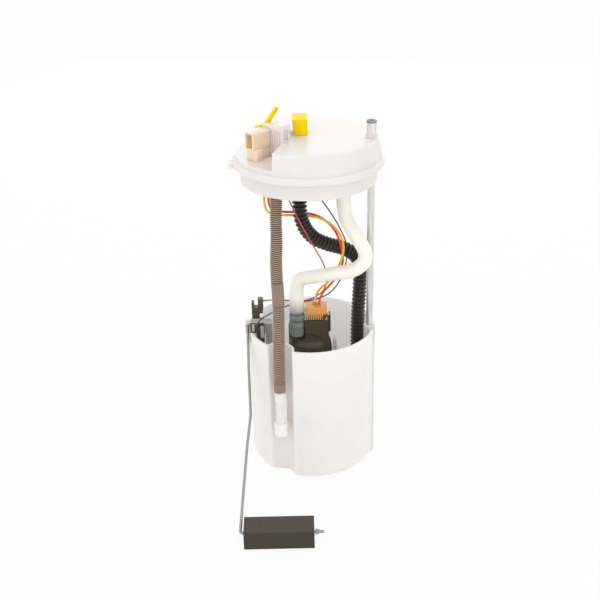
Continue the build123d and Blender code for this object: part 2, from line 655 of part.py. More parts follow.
def flange():
    shell = turned([
        (SKIRT_IN_R, SKIRT_Z),
        (SKIRT_R - 0.6, SKIRT_Z),
        (SKIRT_R, SKIRT_Z + 0.6),
        (SKIRT_R, RIM_Z),
        (RIM_R - 1.6, RIM_Z),
        (RIM_R, RIM_Z + 1.8),
        (RIM_R, RIM_TOP - 2.4),
        (RIM_R - 0.9, RIM_TOP - 0.7),
        (RIM_R - 2.4, RIM_TOP),
        (DRUM_FOOT_R, RIM_TOP),
        (DRUM_TOP_R, TOP_Z - 1.8),
        (DRUM_TOP_R - 0.6, TOP_Z - 0.5),
        (DRUM_TOP_R - 1.8, TOP_Z),
        (0, TOP_Z),
        (0, TOP_Z - PLATE),
        (SKIRT_IN_R, TOP_Z - PLATE),
    ])
    shell -= left_of_step(0, DECK_TOP, TOP_Z + 5)
    deck = left_of_step(WALL, DECK_TOP - DECK_THICK, DECK_TOP) & disc(SKIRT_IN_R + 0.5, 290, 320)
    riser = left_of_step(WALL, DECK_TOP - DECK_THICK, TOP_Z - 0.5) - left_of_step(0, 290, 320)
    shell += deck + (riser & disc(DRUM_TOP_R - 0.9, 290, 320))
    # locating lug on the rim
    lug = block((-LUG_REACH, -RIM_R + 2), (-5.5, 5.5), (RIM_Z, RIM_Z + 4.4))
    shell += Rot(0, 0, 6) * chamfer(lug.edges().filter_by(Axis.Z), 1.5)
    # rod bosses, the right one standing on the top plate
    for name, x, y in rod_places():
        top = TOP_Z + 2.6 if name == "right" else TOP_Z - 0.6
        shell += disc(5.2, TOP_Z - 22, top, x, y) & (disc(SKIRT_IN_R + 2.5, 290, 330))
        shell -= disc(ROD_R, SKIRT_Z, TOP_Z + 10 if name == "right" else TOP_Z - 2.4, x, y)
    # hose stubs below the plate
    stubs = (BLACK_ROUTE, BLACK_DIA), (FEED_ROUTE, FEED_DIA), (RETURN_ROUTE, RETURN_DIA)
    for route, diameter in stubs:
        x, y, _ = route[0]
        stub = disc(diameter / 2, STUB_END, TOP_Z - PLATE + 0.5, x, y)
        stub -= disc(diameter / 2 - 2.4, STUB_END - 1, DECK_TOP - DECK_THICK - 3, x, y)
        shell += stub - left_of_step(0, DECK_TOP - 1, TOP_Z)
    shell += socket_carrier()
    # outlet spigot under the cap
    shell += disc(OUTLET_R, TOP_Z - 1, TOP_Z + 11, *OUTLET)
    shell += Pos(*OUTLET, TOP_Z + 8) * Cone(OUTLET_R + 0.8, OUTLET_R, 2.4)
    shell -= disc(2.5, TOP_Z + 1, TOP_Z + 12, *OUTLET)
    return shell


def outlet_cap():
    """Hollow cap over the outlet spigot: its right side upright, the others leaning out."""
    x, y = OUTLET
    low = Plane.XY.offset(TOP_Z + 0.2) * Pos(x + 0.6, y) * RectangleRounded(11.6, 17.0, 1.2)
    high = Plane.XY.offset(TOP_Z + 14.4) * Pos(x, y) * RectangleRounded(12.8, 19.0, 1.2)
    cap = loft([low, high])
    return cap - disc(CAP_BORE_R, TOP_Z, TOP_Z + 12.2, x, y)


def at_socket(part):
    x, y, z = SOCKET_MOUTH
    return Pos(x, y, z) * Rot(0, 0, SOCKET_TURN) * part


def electrical_socket():
    """Shroud that lies on the deck, mouth to the front left, on a wide foot and a pier."""
    half, tall = SOCKET_W / 2, SOCKET_H / 2
    deck = DECK_TOP - SOCKET_MOUTH[2]
    shroud = block((0, SHROUD_LEN), (-half, half), (-tall, tall))
    shroud = fillet(shroud.edges().filter_by(Axis.X), 2.2)
    foot = block((0.5, 8), (-half - 3, half - 0.5), (deck, -tall + 1))
    foot = fillet(foot.edges().filter_by(Axis.Z), 1.2)
    pier = block((11, SHROUD_LEN), (-half + 1, half - 1), (deck, -tall + 2))
    inner = -half + SHROUD_WALL, half - SHROUD_WALL
    cavity = block((-1, SHROUD_LEN - 5), inner, (-tall + SHROUD_WALL, tall - SHROUD_WALL))
    return at_socket(shroud + foot + pier - cavity)


def socket_terminals():
    """Four blade pins in the socket."""
    pins = [
        block((8, SHROUD_LEN - 5), (y - 0.35, y + 0.35), (z - 1.1, z + 1.1))
        for y in (-1.8, 1.8)
        for z in (-2.6, 2.6)
    ]
    return at_socket(pins[0] + pins[1] + pins[2] + pins[3])


def lock_lever():
    """Bell crank beside the housing: a long arm with an eye, and a short arm along the shroud's edge."""
    rise = radians(LEVER_RISE)
    arm = block((0, LEVER_LEN), (-1.3, 1.3), (-1.6, 1.6))
    arm = fillet(arm.edges().filter_by(Axis.Y), 1.4)
    arm -= block((LEVER_LEN - 7, LEVER_LEN - 1.6), (-2, 2), (-0.6, 0.6))
    crank = Rot(0, -LEVER_RISE, 0) * arm + bar(2.4, (0, -1.3, 0), (0, 1.3, 0))
    bend = 3 * cos(rise)
    crank += block((-9.0, bend), (-1.3, 1.3), (3.8, 4.9)) + block((-1.6, bend), (-1.3, 1.3), (0, 5.0))
    crank -= bar(PIN_R + 0.08, (0, -3, 0), (0, 3, 0))
    return at_socket(Pos(*LEVER_HINGE) * crank)


def lever_pin():
    """Hinge pin pressed into the housing's far side."""
    x, y, z = LEVER_HINGE
    return at_socket(bar(PIN_R, (x, y - 4.4, z), (x, y + 1.9, z)))


def wire_block():
    """Terminal block under the deck that the four wires leave."""
    return block((-45.0, -21.0), (-15.5, 6.0), (286.0, DECK_TOP - DECK_THICK))


def guide_rod(x, y, top):
    return pipe(ROD_R, ROD_BORE_R, ROD_LOW, top, x, y)


def rod_ferrule():
    """Steel collar on the right rod's end, above the top plate."""
    _, x, y = next(rod_places())
    return pipe(FERRULE_R, ROD_R, TOP_Z + 2.6, FERRULE_TOP, x, y)


def rod_circlips():
    clips = [pipe(3.75, ROD_R, BUSH_LOW - 1.1, BUSH_LOW - 0.1, x, y) for _, x, y in rod_places()]
    return clips[0] + clips[1]


def rod_bush(x, y):
    bore = ROD_R + BUSH_CLEARANCE
    return pipe(BUSH_R, bore, BUSH_LOW, SLEEVE_TOP, x, y) + pipe(COLLAR_R, bore, SLEEVE_TOP, SLEEVE_TOP + 1.4, x, y)


def spring(x, y):
    """Compression spring between the sleeve's floor and the rod's end."""
    low, high = SPRING_LOW + SPRING_WIRE_R, ROD_LOW - SPRING_WIRE_R
    pitch = (high - low) / SPRING_TURNS
    path = Helix(pitch=pitch, height=high - low, radius=SPRING_MEAN_R, center=(x, y, low))
    section = Plane(origin=path @ 0, z_dir=path % 0) * RegularPolygon(SPRING_WIRE_R, 4)
    return sweep(section, path=path, is_frenet=True)


def feed_hose():
    """Feed hose whose lower end swells over the outlet barb."""
    hose = cord("feed_hose", FEED_ROUTE, FEED_DIA, HOSE_SIDES)
    low = FEED_ROUTE[-1][2]
    hose += disc(7.4, low, BARB_TOP - 3, BARB_X, BARB_Y)
    return hose - disc(5.4, low - 1, BARB_TOP + 0.3, BARB_X, BARB_Y)


def nodes():
    parts = {
        "reservoir": reservoir(),
        "jet_pump": jet_pump(),
        "foot_valve": foot_valve(),
        "pump_case": pump_case(),
        "pump_head": pump_head(),
        "outlet_barb": outlet_barb(),
        "check_valve": check_valve(),
        "pump_inlet": pump_inlet(),
        "turbine_plate": pump_plate(),
        "impeller": impeller(),
        "rotor_shaft": rotor_shaft(),
        "armature": armature(),
        "commutator": commutator(),
        "magnets": magnets(),
        "brush_holder": brush_holder(),
        "brushes": brushes(),
        "pump_damper": pump_damper(),
        "pump_holder": pump_holder(),
        "strainer": strainer(),
        "pump_plug": pump_plug(),
        "sender_housing": sender_housing(),
        "resistor_card": resistor_card(),
        "sender_bracket": sender_bracket(),
        "float_arm": float_arm(),
        "wiper_hub": wiper_hub(),
        "wiper": wiper(),
        "float": level_float(),
        "float_clip": float_clip(),
        "flange": flange(),
        "outlet_cap": outlet_cap(),
        "electrical_socket": electrical_socket(),
        "socket_terminals": socket_terminals(),
        "lock_lever": lock_lever(),
        "lever_pin": lever_pin(),
        "wire_block": wire_block(),
        "rod_ferrule": rod_ferrule(),
        "rod_circlips": rod_circlips(),
        "return_tube": cord("return_tube", RETURN_ROUTE, RETURN_DIA, HOSE_SIDES),
        "black_hose": cord("black_hose", BLACK_ROUTE, BLACK_DIA, HOSE_SIDES),
        "feed_hose": feed_hose(),
        "yellow_wire": cord("yellow_wire", YELLOW_ROUTE, POWER_DIA, WIRE_SIDES),
        "red_wire": cord("red_wire", RED_ROUTE, POWER_DIA, WIRE_SIDES),
        "thin_red_wire": cord("thin_red_wire", THIN_RED_ROUTE, SIGNAL_DIA, WIRE_SIDES),
        "thin_dark_wire": cord("thin_dark_wire", THIN_DARK_ROUTE, SIGNAL_DIA, WIRE_SIDES),
    }
    for name, x, y in rod_places():
        top = FERRULE_TOP - 1.6 if name == "right" else TOP_Z - 2.4
        parts[f"guide_rod_{name}"] = guide_rod(x, y, top)
        parts[f"rod_bush_{name}"] = rod_bush(x, y)
        parts[f"spring_{name}"] = spring(x, y)
    return parts


os.makedirs("parts", exist_ok=True)
for node, shape in nodes().items():
    export_step(shape, f"parts/{node}.step")
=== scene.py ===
"""Dresses the fuel pump module: hoses, wires, small mouldings and finishes. Metres, +Z up."""

import math

import bmesh
import bpy
from bpy.props import FloatProperty, FloatVectorProperty, PointerProperty
from bpy.types import Operator, Panel, PropertyGroup
from mathutils import Matrix, Vector


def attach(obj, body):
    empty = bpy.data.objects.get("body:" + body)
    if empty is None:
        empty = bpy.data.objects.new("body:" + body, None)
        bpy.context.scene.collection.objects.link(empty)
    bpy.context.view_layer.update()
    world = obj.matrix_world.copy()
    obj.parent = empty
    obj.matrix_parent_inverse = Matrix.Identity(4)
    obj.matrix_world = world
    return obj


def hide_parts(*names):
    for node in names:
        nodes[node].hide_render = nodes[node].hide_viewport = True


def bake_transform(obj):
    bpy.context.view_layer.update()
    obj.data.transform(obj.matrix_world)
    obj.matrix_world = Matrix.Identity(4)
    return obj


bl_info = {
    "name": "Fuel Pump Module",
    "version": (1, 0, 0),
    "blender": (4, 5, 0),
    "location": "3D Viewport > Sidebar > Pump Module",
    "description": "Builds the hoses, mouldings and finishes of an in-tank fuel pump module",
    "category": "Object",
}

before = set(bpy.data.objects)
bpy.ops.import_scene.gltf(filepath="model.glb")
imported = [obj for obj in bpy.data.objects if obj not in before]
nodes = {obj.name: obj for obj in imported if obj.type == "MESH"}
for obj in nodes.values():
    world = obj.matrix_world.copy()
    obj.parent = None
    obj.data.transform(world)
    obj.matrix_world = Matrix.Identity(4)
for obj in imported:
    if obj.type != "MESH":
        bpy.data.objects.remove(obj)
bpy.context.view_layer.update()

MM = 0.001

# The way each hose and wire runs, from the flange down, in millimetres.
RETURN_ROUTE = (
    (-28.0, -42.0, 284.0),
    (-28.0, -42.0, 271.0),
    (-28.8, -45.0, 258.0),
    (-28.4, -49.0, 240.0),
    (-29.9, -50.4, 216.0),
    (-28.4, -50.3, 184.0),
    (-29.2, -50.0, 150.0),
    (-30.0, -50.0, 118.0),
    (-30.0, -50.0, 94.0),
)
BLACK_ROUTE = (
    (-8.6, -12.0, 284.0),
    (-8.6, -12.0, 262.0),
    (-8.2, -12.0, 243.0),
    (1.0, -8.0, 225.0),
    (16.0, -1.4, 215.0),
    (34.0, 7.5, 207.0),
    (46.6, 13.0, 192.0),
    (45.4, 14.4, 166.0),
    (43.4, 15.0, 126.0),
    (44.0, 15.0, 82.0),
    (44.0, 15.0, 40.0),
)
FEED_ROUTE = (
    (29.2, -7.0, 284.0),
    (29.2, -7.0, 258.0),
    (31.4, -10.0, 241.5),
    (40.4, -18.6, 230.0),
    (50.4, -26.4, 213.0),
    (39.6, -24.4, 199.4),
    (21.0, -19.0, 194.8),
    (4.0, -13.6, 189.8),
    (-12.6, -8.4, 185.6),
    (-13.0, -8.0, 163.0),
    (-13.0, -8.0, 129.0),
)
YELLOW_ROUTE = (
    (-39.4, -5.0, 286.0),
    (-39.4, -5.0, 266.0),
    (-38.8, -4.4, 248.0),
    (-26.0, -0.6, 243.4),
    (-8.0, 1.0, 242.8),
    (9.0, 0.4, 240.6),
    (22.6, -4.6, 233.6),
    (30.6, -9.0, 218.8),
    (27.6, -8.4, 201.0),
    (18.0, -6.0, 182.0),
    (3.4, -4.0, 169.0),
    (3.4, -4.0, 157.5),
)
RED_ROUTE = (
    (-35.9, -5.0, 286.0),
    (-35.9, -5.0, 266.0),
    (-35.0, -2.6, 250.0),
    (-24.0, 2.0, 245.6),
    (-8.0, 3.6, 244.8),
    (9.0, 3.4, 241.0),
    (21.6, -0.6, 230.6),
    (27.4, -4.6, 217.0),
    (30.2, -6.4, 199.0),
    (21.2, -9.4, 183.0),
    (7.2, -8.0, 168.0),
    (7.2, -8.0, 157.5),
)
THIN_RED_ROUTE = (
    (-23.6, -12.6, 286.0),
    (-23.6, -12.6, 277.0),
    (-18.0, -20.0, 266.0),
    (-9.8, -22.6, 247.4),
    (-2.2, -20.6, 231.4),
    (5.8, -13.0, 213.4),
    (13.0, -7.4, 196.8),
    (15.4, -1.8, 179.4),
    (11.0, 3.2, 165.6),
    (-2.6, 6.2, 156.0),
    (-17.4, 6.2, 155.8),
    (-31.0, 0.0, 161.6),
    (-37.6, -6.2, 163.4),
    (-43.6, -6.2, 163.4),
)
THIN_DARK_ROUTE = (
    (-24.0, 3.0, 286.0),
    (-24.0, 3.0, 278.0),
    (-10.0, 3.0, 272.6),
    (6.0, 3.2, 262.4),
    (19.2, 6.0, 242.4),
    (28.0, 8.6, 225.0),
    (34.4, 17.6, 206.0),
    (33.8, 20.2, 189.0),
    (28.4, 13.4, 173.6),
    (18.6, 9.2, 162.0),
    (6.6, 8.6, 156.8),
    (-7.4, 8.4, 153.6),
    (-21.2, 4.4, 152.8),
    (-32.5, -5.5, 152.4),
    (-40.0, -13.2, 151.6),
    (-47.0, -18.4, 150.0),
    (-50.2, -18.4, 142.4),
    (-50.2, -10.0, 142.4),
)


# ---- sizes and colours a user would change ----
def length(name, description, millimetres):
    return FloatProperty(name=name, description=description, default=millimetres * MM, unit="LENGTH")


def colour(name, description, tint):
    return FloatVectorProperty(
        name=name, description=description, default=tint, subtype="COLOR", min=0, max=1
    )


def power(name, description, watts):
    return FloatProperty(name=name, description=description, default=watts, unit="POWER")


class PumpModuleHoses(PropertyGroup):
    """Sizes of the hoses' ribs and cuffs"""

    return_pitch: length("Return Tube Pitch", "Distance from rib to rib of the return tube", 1.78)
    return_radius: length("Return Tube Radius", "Radius over the return tube's ribs", 5.35)
    return_depth: length("Return Tube Groove", "Depth of the return tube's grooves", 1.0)
    return_cuff: length("Return Tube Cuff", "Plain stretch at the return tube's lower end", 9.0)
    black_pitch: length("Black Hose Pitch", "Distance from rib to rib of the black hose", 4.0)
    black_radius: length("Black Hose Radius", "Radius over the black hose's ribs", 6.55)
    black_depth: length("Black Hose Groove", "Depth of the black hose's grooves", 2.2)
    feed_radius: length("Feed Hose Radius", "Radius of the feed hose where it is plain", 6.3)
    feed_swell: length("Feed Hose Swell", "How far the feed hose swells over the nipple", 0.95)
    feed_cuff: length("Feed Hose Cuff", "Length of the feed hose on the nipple", 30.5)
    feed_pitch: length("Nipple Pitch", "Distance between the nipple's teeth under the feed hose", 6.8)


class PumpModuleColours(PropertyGroup):
    """Main colours of the mouldings, hoses and wires"""

    pot: colour("Pot", "Natural plastic of the pot and the jet pump", (0.955, 0.903, 0.862))
    flange: colour("Flange", "Natural plastic of the flange", (0.805, 0.760, 0.735))
    peach: colour("Socket", "Shroud of the electrical socket", (0.94, 0.70, 0.53))
    orange: colour("Plug", "Plug on the pump", (0.80, 0.39, 0.11))
    yellow: colour("Cap", "Outlet cap and lock lever", (1.0, 0.70, 0.0))
    dark: colour("Pump Head", "Pump head and sender housing", (0.060, 0.044, 0.024))
    bracket: colour("Bracket", "Bracket of the level sender", (0.68, 0.67, 0.66))
    # Float tints: top and bottom, and the darker sides; partly the foam's own tones, partly painted light
    # and shade.
    foam: colour("Float", "Foam of the float", (0.070, 0.053, 0.045))
    foam_sides_and_shade: colour("Float Sides", "Cut sides of the float's foam", (0.038, 0.031, 0.016))
    brown: colour("Return Tube", "Crests of the return tube's ribs", (0.60, 0.42, 0.32))
    black: colour("Black Hose", "Crests of the black hose's ribs", (0.036, 0.032, 0.024))
    cream: colour("Feed Hose", "Feed hose where it is plain", (1.0, 0.93, 0.83))
    nipple: colour("Nipple Through Hose", "Nipple as it shows through the feed hose", (0.215, 0.24, 0.23))
    yellow_wire: colour("Yellow Wire", "Insulation of the yellow power wire", (1.0, 0.55, 0.03))
    red_wire: colour("Red Wire", "Insulation of the red power wire", (0.82, 0.07, 0.02))
    thin_red: colour("Thin Red Wire", "Insulation of the thin red signal wire", (0.58, 0.06, 0.05))
    thin_dark: colour("Thin Dark Wire", "Insulation of the thin dark signal wire", (0.05, 0.05, 0.06))


class PumpModuleStudio(PropertyGroup):
    """Level of the studio's light"""

    sky: FloatProperty(name="Sky", description="Strength of the even light", default=0.94, min=0)
    key: power("Key Lamp", "Power of the lamp at the left", 4.0)
    fill: power("Fill Lamp", "Power of the lamp at the right", 3.5)
    top: power("Top Lamp", "Power of the lamp overhead", 0.3)
    back: power("Back Lamp", "Power of the lamp behind", 4.5)


# ---- node graphs ----
# Cells of a noise pattern in one metre.
PATCHES = 38
FLOW_LINES = 260
GRAIN = 1400

# Depth of a surface's grain.
SMOOTH = 0.01 * MM
FINE = 0.02 * MM
MEDIUM = 0.03 * MM
COARSE = 0.04 * MM
GRITTY = 0.06 * MM


def new_material(name):
    material = bpy.data.materials.new(name)
    material.use_nodes = True
    graph = material.node_tree
    return material, graph, graph.nodes["Principled BSDF"]


def add_node(graph, kind, **settings):
    """A new node. Each setting is one of its properties or, with spaces for underscores, a socket."""
    node = graph.nodes.new(kind)
    for key, value in settings.items():
        if hasattr(node, key):
            setattr(node, key, value)
        else:
            node.inputs[key.replace("_", " ")].default_value = value
    return node


def object_position(graph, stretch=(1, 1, 1)):
    """Object coordinates, stretched so that a pattern can run long in one direction."""
    place = add_node(graph, "ShaderNodeTexCoord")
    mapping = add_node(graph, "ShaderNodeMapping")
    mapping.inputs["Scale"].default_value = stretch
    graph.links.new(place.outputs["Object"], mapping.inputs["Vector"])
    return mapping.outputs["Vector"]


def noise(graph, place, per_metre, detail=3.0):
    node = add_node(graph, "ShaderNodeTexNoise", Scale=per_metre, Detail=detail)
    graph.links.new(place, node.inputs["Vector"])
    return node.outputs["Fac"]


def tints(graph, factor, *stops):
    """A colour that goes through the (place, colour) stops as the factor rises."""
    ramp = add_node(graph, "ShaderNodeValToRGB")
    elements = ramp.color_ramp.elements
    elements.remove(elements[0])
    elements[0].position = stops[0][0]
    for place, _ in stops[1:]:
        elements.new(place)
    for element, (_, tint) in zip(elements, stops):
        element.color = (*tint, 1)
    graph.links.new(factor, ramp.inputs["Fac"])
    return ramp.outputs["Color"]


def spread(graph, factor, low, high):
    """The factor, mapped to run from low to high."""
    node = add_node(graph, "ShaderNodeMapRange", To_Min=low, To_Max=high)
    graph.links.new(factor, node.inputs["Value"])
    return node.outputs["Result"]


def scaled_sum(graph, first, share, second):
    """first times share, plus second."""
    node = add_node(graph, "ShaderNodeMath", operation="MULTIPLY_ADD")
    graph.links.new(first, node.inputs[0])
    node.inputs[1].default_value = share
    graph.links.new(second, node.inputs[2])
    return node.outputs[0]


def bump(graph, shader, height, depth):
    """Raises the surface by the height pattern, by depth at most."""
    node = add_node(graph, "ShaderNodeBump", Strength=1.0, Distance=depth)
    graph.links.new(height, node.inputs["Height"])
    graph.links.new(node.outputs["Normal"], shader.inputs["Normal"])


def toned(tint, share):
    """The tint, darker by a share under 1 and paler by one over 1."""
    return tuple(channel * share for channel in tint)


def set_sockets(shader, **sockets):
    """Sets the shader's own sockets, named with underscores for spaces."""
    for key, value in sockets.items():
        shader.inputs[key.replace("_", " ")].default_value = value


def moulding(name, tint, gloss, grain, shade=0.86, **sockets):
    """A moulded plastic or rubber: soft patches and faint flow lines in two tints, and a fine grain.

    gloss is the lowest and highest roughness, grain the grain's depth, and shade the share of the tint
    that its darker patches keep.
    """
    material, graph, shader = new_material(name)
    place = object_position(graph)
    patches = noise(graph, place, PATCHES)
    flow = noise(graph, object_position(graph, (1, 1, 0.25)), FLOW_LINES, 4)
    mottle = scaled_sum(graph, flow, 0.35, patches)
    body = tints(graph, mottle, (0.45, toned(tint, shade)), (0.85, tint))
    graph.links.new(body, shader.inputs["Base Color"])
    graph.links.new(spread(graph, patches, *gloss), shader.inputs["Roughness"])
    bump(graph, shader, noise(graph, place, GRAIN, 2), grain)
    set_sockets(shader, **sockets)
    return material


def drawn_metal(name, tint, along, gloss=(0.22, 0.40)):
    """Steel or brass with drawing marks that run along one axis, and duller patches."""
    material, graph, shader = new_material(name)
    stretch = [1.0 if axis == along else 18.0 for axis in "XYZ"]
    marks = noise(graph, object_position(graph, stretch), 60, 4)
    streaks = tints(graph, marks, (0.3, toned(tint, 0.70)), (0.7, tint))
    graph.links.new(streaks, shader.inputs["Base Color"])
    worn = scaled_sum(graph, marks, 0.4, noise(graph, object_position(graph), 90))
    graph.links.new(spread(graph, worn, *gloss), shader.inputs["Roughness"])
    bump(graph, shader, marks, MEDIUM)
    shader.inputs["Metallic"].default_value = 1.0
    return material


def closed_foam(name, tint, side_tint_and_shade):
    """Foam sheet, paler on the faces that look up or down and darker on its sides, with uneven cells. The
    split by facing is partly the foam's own tones and partly painted light: a lit top and painted shade on
    the sides.
    """
    material, graph, shader = new_material(name)
    place = object_position(graph)
    facing = add_node(graph, "ShaderNodeTexCoord")
    way = add_node(graph, "ShaderNodeSeparateXYZ")
    graph.links.new(facing.outputs["Normal"], way.inputs[0])
    # Painted light: how far each face looks up or down picks the paler tint over the darker side tint.
    facing_up_or_down = add_node(graph, "ShaderNodeMath", operation="ABSOLUTE")
    graph.links.new(way.outputs["Z"], facing_up_or_down.inputs[0])
    cells = add_node(graph, "ShaderNodeTexVoronoi", Scale=1100)
    graph.links.new(place, cells.inputs["Vector"])
    patches = noise(graph, place, 60, 4)
    mottle = scaled_sum(graph, cells.outputs["Distance"], 0.5, patches)
    top_tone_and_light = tints(graph, mottle, (0.4, toned(tint, 0.8)), (0.95, tint))
    side_tone_and_shade = tints(graph, mottle, (0.4, toned(side_tint_and_shade, 0.75)), (0.95, side_tint_and_shade))
    body = add_node(graph, "ShaderNodeMix", data_type="RGBA")
    for source, socket in ((facing_up_or_down.outputs[0], 0), (side_tone_and_shade, 6), (top_tone_and_light, 7)):
        graph.links.new(source, body.inputs[socket])
    graph.links.new(body.outputs[2], shader.inputs["Base Color"])
    graph.links.new(spread(graph, patches, 0.55, 0.75), shader.inputs["Roughness"])
    bump(graph, shader, mottle, 2 * GRITTY)
    return material


def woven_cloth(name, tint):
    """Filter cloth with a fine square weave."""
    material, graph, shader = new_material(name)
    place = object_position(graph)
    threads = []
    for axis in "XY":
        stripes = add_node(graph, "ShaderNodeTexWave", bands_direction=axis, Scale=700, Distortion=0.6)
        graph.links.new(place, stripes.inputs["Vector"])
        threads.append(stripes.outputs["Fac"])
    weave = scaled_sum(graph, threads[0], 0.5, threads[1])
    cloth = tints(graph, weave, (0.2, toned(tint, 0.6)), (1.0, tint))
    graph.links.new(cloth, shader.inputs["Base Color"])
    shader.inputs["Roughness"].default_value = 0.85
    bump(graph, shader, weave, 0.1 * MM)
    return material


def ribbed_plastic(name, crest, groove_shade_share, gloss):
    """Crests in the given tint and grooves darkened towards a share of it as painted shade, with a faint
    noise in tone and gloss. The mesh's groove attribute tells them.
    """
    material, graph, shader = new_material(name)
    place = object_position(graph)
    depth = add_node(graph, "ShaderNodeAttribute", attribute_name="groove")
    worn = noise(graph, place, 130, 4)
    mixed = scaled_sum(graph, worn, 0.22, depth.outputs["Fac"])
    # Painted shade: the tint darkens from crest to groove.
    stops = (0.08, crest), (0.35, toned(crest, 0.72)), (0.95, toned(crest, groove_shade_share))
    body = tints(graph, mixed, *stops)
    graph.links.new(body, shader.inputs["Base Color"])
    graph.links.new(spread(graph, worn, *gloss), shader.inputs["Roughness"])
    bump(graph, shader, noise(graph, place, 1200, 2), FINE)
    return material


# ---- modelling by hand, with sizes and places given in millimetres ----
def at(*place):
    """The same place or lengths in metres."""
    return [value * MM for value in place]


def start(kind, name, **place):
    """A new primitive, with nothing else selected."""
    bpy.ops.object.select_all(action="DESELECT")
    getattr(bpy.ops.mesh, f"primitive_{kind}_add")(**place)
    piece = bpy.context.object
    piece.name = name
    return piece


def pick(piece, test):
    """Opens the piece for editing with only the faces selected that pass the test."""
    bpy.ops.object.mode_set(mode="EDIT")
    bpy.ops.mesh.select_mode(type="FACE")
    bpy.ops.mesh.select_all(action="DESELECT")
    bpy.ops.object.mode_set(mode="OBJECT")
    for polygon in piece.data.polygons:
        polygon.select = test(polygon.center, polygon.normal)
    bpy.ops.object.mode_set(mode="EDIT")


def slab(name, x, y, z):
    """A box between the given limits, ready to be shaped."""
    limits = x, y, z
    box = start("cube", name, size=1, location=at(*((low + high) / 2 for low, high in limits)))
    box.scale = at(*(high - low for low, high in limits))
    bpy.ops.object.transform_apply(location=False, rotation=False, scale=True)
    return box


def forward(_, normal):
    return normal.y < -0.9


def upward(_, normal):
    return normal.z > 0.9


def downward(_, normal):
    return normal.z < -0.9


def rightward(past):
    """A test for the faces that look along +X and lie further out than past from the piece's middle."""
    return lambda centre, normal: normal.x > 0.6 and centre.x > past * MM


def pull(*way):
    """Extrudes the selected faces by the given way."""
    bpy.ops.mesh.extrude_region_move(TRANSFORM_OT_translate={"value": at(*way)})


def round_edges(piece, width, segments=3):
    """Bevels the piece's sharp edges to the given width."""
    bpy.ops.object.mode_set(mode="OBJECT")
    edges = piece.modifiers.new("edges", "BEVEL")
    edges.width = width * MM
    edges.segments = segments
    edges.limit_method = "ANGLE"
    bpy.ops.object.modifier_apply(modifier="edges")


def settle(piece, body, material):
    """Puts the finished piece's place into its mesh, and lets it ride on its body."""
    bpy.ops.object.mode_set(mode="OBJECT")
    bpy.ops.object.select_all(action="DESELECT")
    piece.select_set(True)
    bpy.context.view_layer.objects.active = piece
    bpy.ops.object.transform_apply(location=True, rotation=True, scale=True)
    bpy.ops.object.shade_smooth_by_angle(angle=math.radians(35))
    piece.data.materials.append(material)
    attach(piece, body)


def twin(piece, name, shift, body):
    """A copy of a settled piece with its own mesh, moved by shift."""
    copy = piece.copy()
    copy.data = piece.data.copy()
    copy.data.transform(Matrix.Translation(at(*shift)))
    copy.name = name
    bpy.context.scene.collection.objects.link(copy)
    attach(copy, body)


# ---- cords ----
def in_metres(route):
    return [Vector(point) * MM for point in route]


def smooth_line(route, steps=16):
    """Points along the NURBS line that has the route's points as its controls."""
    curve = bpy.data.curves.new("line", "CURVE")
    curve.dimensions = "3D"
    curve.resolution_u = steps
    spline = curve.splines.new("NURBS")
    spline.points.add(len(route) - 1)
    for control, point in zip(spline.points, in_metres(route)):
        control.co = (*point, 1)
    spline.order_u = 3
    spline.use_endpoint_u = True
    holder = bpy.data.objects.new("line", curve)
    mesh = bpy.data.meshes.new_from_object(holder)
    points = [vertex.co.copy() for vertex in mesh.vertices]
    bpy.data.objects.remove(holder)
    bpy.data.curves.remove(curve)
    bpy.data.meshes.remove(mesh)
    return points


def stations(points):
    """Distance from the first point to each point."""
    total = [0.0]
    for a, b in zip(points, points[1:]):
        total.append(total[-1] + (b - a).length)
    return total


def evenly(points, count):
    """Points at even distances along the line, and the line's length."""
    along = stations(points)
    spaced = []
    k = 0
    for n in range(count):
        distance = along[-1] * n / (count - 1)
        while k < len(points) - 2 and along[k + 1] < distance:
            k += 1
        share = (distance - along[k]) / (along[k + 1] - along[k])
        spaced.append(points[k].lerp(points[k + 1], min(share, 1.0)))
    return spaced, along[-1]


def hose(name, route, rings, sides, radius_at):
    """A tube round the route's smooth line, closed at both ends.

    radius_at gives its radius, and how much painted groove shade it gets, at a distance along its whole
    reach.
    """
    line = smooth_line(route)
    centres, reach = evenly(line, rings)
    side = (centres[1] - centres[0]).orthogonal().normalized()
    shape = bmesh.new()
    # How much painted shade each point of the tube gets.
    groove = shape.verts.layers.float.new("groove")
    loops = []
    for k, centre in enumerate(centres):
        ahead = (centres[min(k + 1, rings - 1)] - centres[max(k - 1, 0)]).normalized()
        side = (side - ahead * side.dot(ahead)).normalized()
        other = ahead.cross(side)
        radius, depth = radius_at(reach * k / (rings - 1), reach)
        loop = []
        for n in range(sides):
            turn = 2 * math.pi * n / sides
            vertex = shape.verts.new(centre + (side * math.cos(turn) + other * math.sin(turn)) * radius)
            vertex[groove] = depth
            loop.append(vertex)
        loops.append(loop)
    for before, after in zip(loops, loops[1:]):
        for n in range(sides):
            m = (n + 1) % sides
            shape.faces.new((before[n], before[m], after[m], after[n]))
    shape.faces.new(reversed(loops[0]))
    shape.faces.new(loops[-1])
    mesh = bpy.data.meshes.new(name)
    shape.to_mesh(mesh)
    shape.free()
    mesh.polygons.foreach_set("use_smooth", [True] * len(mesh.polygons))
    piece = bpy.data.objects.new(name, mesh)
    bpy.context.scene.collection.objects.link(piece)
    return piece, line, reach


def hang(piece, node, material):
    """Gives a cord that hangs between the flange and the pot its material, hides the part's own cord, and
    puts the cord's place into its mesh.
    """
    piece.data.materials.append(material)
    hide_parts(node)
    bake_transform(piece)


